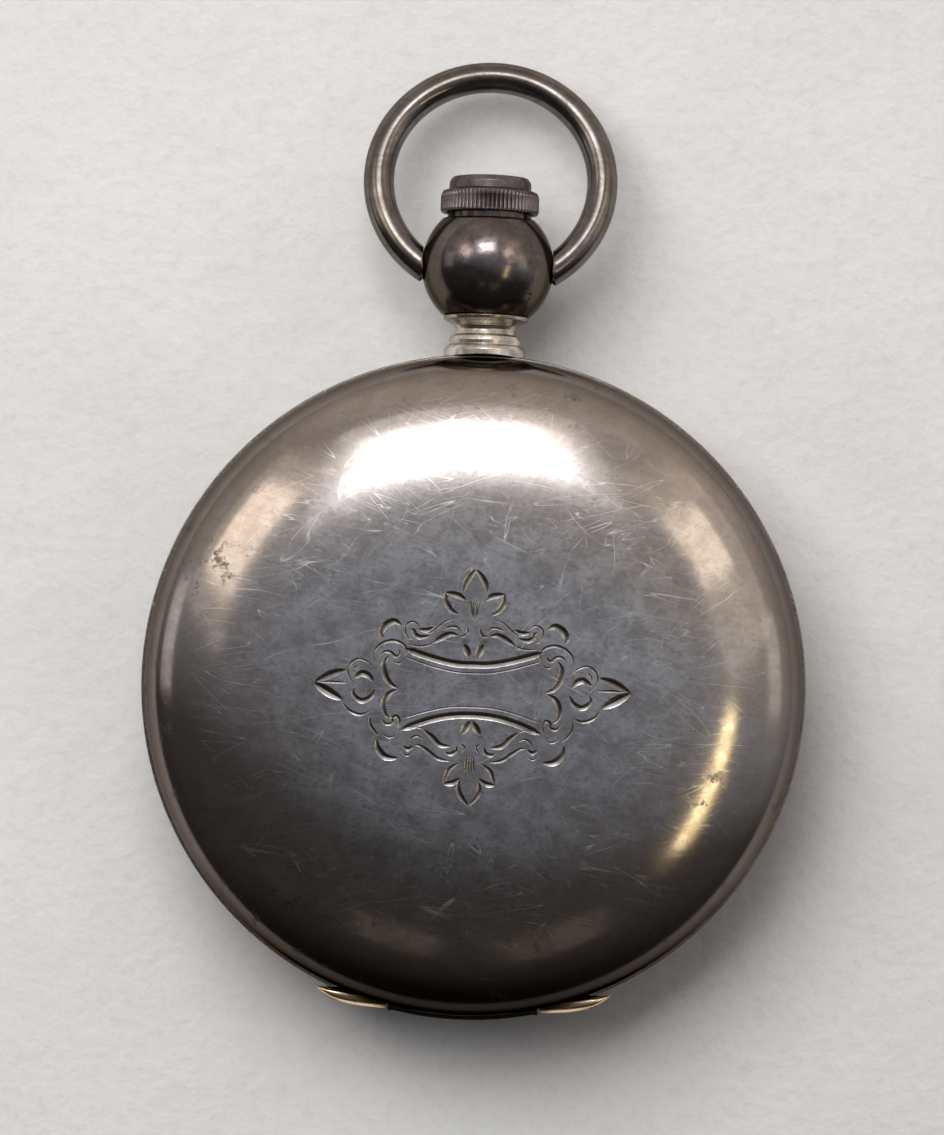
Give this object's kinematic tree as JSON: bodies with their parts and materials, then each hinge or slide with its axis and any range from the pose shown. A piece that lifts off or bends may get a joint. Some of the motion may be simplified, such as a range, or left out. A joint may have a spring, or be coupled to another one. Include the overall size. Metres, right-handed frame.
{
  "type": "pocket watch",
  "caption": "Silver hunter-case pocket watch, closed, with an engraved front cover, ball pendant, knurled crown, swinging bow and a wheel-train movement inside.",
  "frame": {"origin": "centre of the flat on the rear cover that the closed watch lies on", "axes": "+Z out of the front cover, +Y through the pendant and crown, +X completes the right hand"},
  "size_m": [0.055, 0.0802, 0.0176],
  "materials": {
    "case_silver": "tarnished polished silver with fine scratches",
    "bow_silver": "worn polished silver, darker towards the ends",
    "crown_metal": "dark worn knurled metal",
    "joint_gold": "worn gold filled joint ends",
    "steel": "fine ground steel",
    "polished_steel": "polished steel",
    "blued_steel": "heat blued steel",
    "gilt_plate": "matt gilt brass",
    "gilt_wheel": "polished gilt brass",
    "enamel": "white enamel with black numerals",
    "glass": "clear flat glass",
    "ruby": "polished ruby"
  },
  "bodies": {
    "case": {"case_band": "case_silver", "pendant_neck": "case_silver", "pendant_ball": "bow_silver", "pendant_sleeve": "steel", "front_joint_ends": "joint_gold", "front_hinge_pin": "steel", "rear_joint_ends": "joint_gold", "rear_hinge_pin": "steel", "inner_cover_joint": "case_silver", "inner_cover_pin": "steel", "bezel": "case_silver", "crystal": "glass", "lift_spring": "steel", "lock_spring": "steel", "case_screws": "blued_steel", "pillar_plate": "gilt_plate", "top_plate": "gilt_plate", "pillars": "gilt_plate", "plate_screws": "blued_steel", "balance_cock": "gilt_plate", "cock_screw": "blued_steel", "jewels": "ruby", "hairspring": "blued_steel", "hairspring_stud": "polished_steel", "winding_screws": "blued_steel", "click_spring": "blued_steel", "dial": "enamel"},
    "bow": {"bow": "bow_silver"},
    "winding_pinion": {"winding_pinion": "polished_steel"},
    "crown": {"crown": "crown_metal", "stem": "steel"},
    "front_cover": {"front_cover": "case_silver", "front_cover_knuckle": "case_silver"},
    "rear_cover": {"rear_cover": "case_silver", "rear_cover_knuckle": "case_silver"},
    "inner_cover": {"inner_cover": "case_silver"},
    "regulator": {"regulator": "polished_steel"},
    "barrel": {"mainspring_barrel": "gilt_wheel", "barrel_cap": "gilt_wheel"},
    "ratchet": {"ratchet_wheel": "polished_steel", "barrel_arbor": "polished_steel", "mainspring": "blued_steel"},
    "centre": {"centre_wheel": "gilt_wheel", "cannon_pinion": "polished_steel", "minute_hand": "blued_steel"},
    "third": {"third_wheel": "gilt_wheel"},
    "fourth": {"fourth_wheel": "gilt_wheel", "seconds_hand": "blued_steel"},
    "escape": {"escape_wheel": "polished_steel"},
    "pallet": {"pallet_fork": "polished_steel", "pallet_stones": "ruby"},
    "balance": {"balance_wheel": "gilt_wheel", "balance_staff": "polished_steel"},
    "crown_wheel": {"crown_wheel": "polished_steel"},
    "intermediate": {"intermediate_wheel": "polished_steel"},
    "click": {"click": "polished_steel"},
    "minute_wheel": {"minute_wheel": "gilt_wheel"},
    "hour_wheel": {"hour_wheel": "gilt_wheel", "hour_hand": "blued_steel"}
  },
  "joints": [
    {"name": "front_cover_hinge", "type": "hinge", "parent": "case", "child": "front_cover", "pos_m": [0, -0.0261, 0.0101], "axis": [1, 0, 0], "range_deg": [0, 80]},
    {"name": "rear_cover_hinge", "type": "hinge", "parent": "case", "child": "rear_cover", "pos_m": [0, -0.0261, 0.0075], "axis": [-1, 0, 0], "range_deg": [0, 80]},
    {"name": "inner_cover_hinge", "type": "hinge", "parent": "case", "child": "inner_cover", "pos_m": [0, -0.0243, 0.006], "axis": [-1, 0, 0], "range_deg": [0, 40]},
    {"name": "bow_swing", "type": "hinge", "parent": "case", "child": "bow", "pos_m": [0, 0.035, 0.0088], "axis": [1, 0, 0], "range_deg": [-75, 105]},
    {"name": "crown_spin", "type": "hinge", "parent": "case", "child": "winding_pinion", "pos_m": [0, 0.0188, 0.0088], "axis": [0, 1, 0], "continuous": true},
    {"name": "crown_slide", "type": "slide", "parent": "winding_pinion", "child": "crown", "axis": [0, 1, 0], "range_m": [-0.0004, 0.001]},
    {"name": "seconds_spin", "type": "hinge", "parent": "case", "child": "fourth", "pos_m": [0.011, 0, 0.0059], "axis": [0, 0, -1], "continuous": true},
    {"name": "centre_spin", "type": "hinge", "parent": "case", "child": "centre", "pos_m": [0, 0, 0.0073], "axis": [0, 0, -1], "continuous": true},
    {"name": "barrel_spin", "type": "hinge", "parent": "case", "child": "barrel", "pos_m": [-0.00951, 0.00346, 0.0064], "axis": [0, 0, -1], "continuous": true},
    {"name": "third_spin", "type": "hinge", "parent": "case", "child": "third", "pos_m": [0.00638, -0.00499, 0.0067], "axis": [0, 0, -1], "continuous": true},
    {"name": "escape_spin", "type": "hinge", "parent": "case", "child": "escape", "pos_m": [0.01572, -0.00396, 0.0063], "axis": [0, 0, -1], "continuous": true},
    {"name": "minute_wheel_spin", "type": "hinge", "parent": "case", "child": "minute_wheel", "pos_m": [0.00129, -0.00483, 0.01], "axis": [0, 0, -1], "continuous": true},
    {"name": "hour_spin", "type": "hinge", "parent": "case", "child": "hour_wheel", "pos_m": [0, 0, 0.0103], "axis": [0, 0, -1], "continuous": true},
    {"name": "crown_wheel_spin", "type": "hinge", "parent": "case", "child": "crown_wheel", "pos_m": [0, 0.014, 0.01015], "axis": [0, 0, -1], "continuous": true},
    {"name": "intermediate_spin", "type": "hinge", "parent": "case", "child": "intermediate", "pos_m": [-0.00385, 0.00882, 0.01015], "axis": [0, 0, -1], "continuous": true},
    {"name": "ratchet_spin", "type": "hinge", "parent": "case", "child": "ratchet", "pos_m": [-0.00951, 0.00346, 0.01015], "axis": [0, 0, -1], "continuous": true},
    {"name": "click_tilt", "type": "hinge", "parent": "case", "child": "click", "pos_m": [-0.01613, 0.00038, 0.01015], "axis": [0, 0, 1], "range_deg": [0, 12]},
    {"name": "pallet_rock", "type": "hinge", "parent": "case", "child": "pallet", "pos_m": [0.01332, -0.00664, 0.0063], "axis": [0, 0, 1], "range_deg": [-4, 4]},
    {"name": "balance_swing", "type": "hinge", "parent": "case", "child": "balance", "pos_m": [0.0112, -0.0104, 0.0042], "axis": [0, 0, 1], "range_deg": [-270, 270]},
    {"name": "regulator_turn", "type": "hinge", "parent": "case", "child": "regulator", "pos_m": [0.0112, -0.0104, 0.0029], "axis": [0, 0, 1], "range_deg": [-20, 20]}
  ],
  "couplings": [
    {"joint": "inner_cover_hinge", "follows": "rear_cover_hinge", "ratio": 0.5},
    {"joint": "centre_spin", "follows": "seconds_spin", "ratio": 0.016667},
    {"joint": "barrel_spin", "follows": "seconds_spin", "ratio": -0.0020833},
    {"joint": "third_spin", "follows": "seconds_spin", "ratio": -0.13333},
    {"joint": "escape_spin", "follows": "seconds_spin", "ratio": -10},
    {"joint": "minute_wheel_spin", "follows": "seconds_spin", "ratio": -0.0055556},
    {"joint": "hour_spin", "follows": "seconds_spin", "ratio": 0.0013889},
    {"joint": "crown_wheel_spin", "follows": "crown_spin", "ratio": 0.41667},
    {"joint": "intermediate_spin", "follows": "crown_spin", "ratio": -0.52632},
    {"joint": "ratchet_spin", "follows": "crown_spin", "ratio": 0.30303}
  ]
}
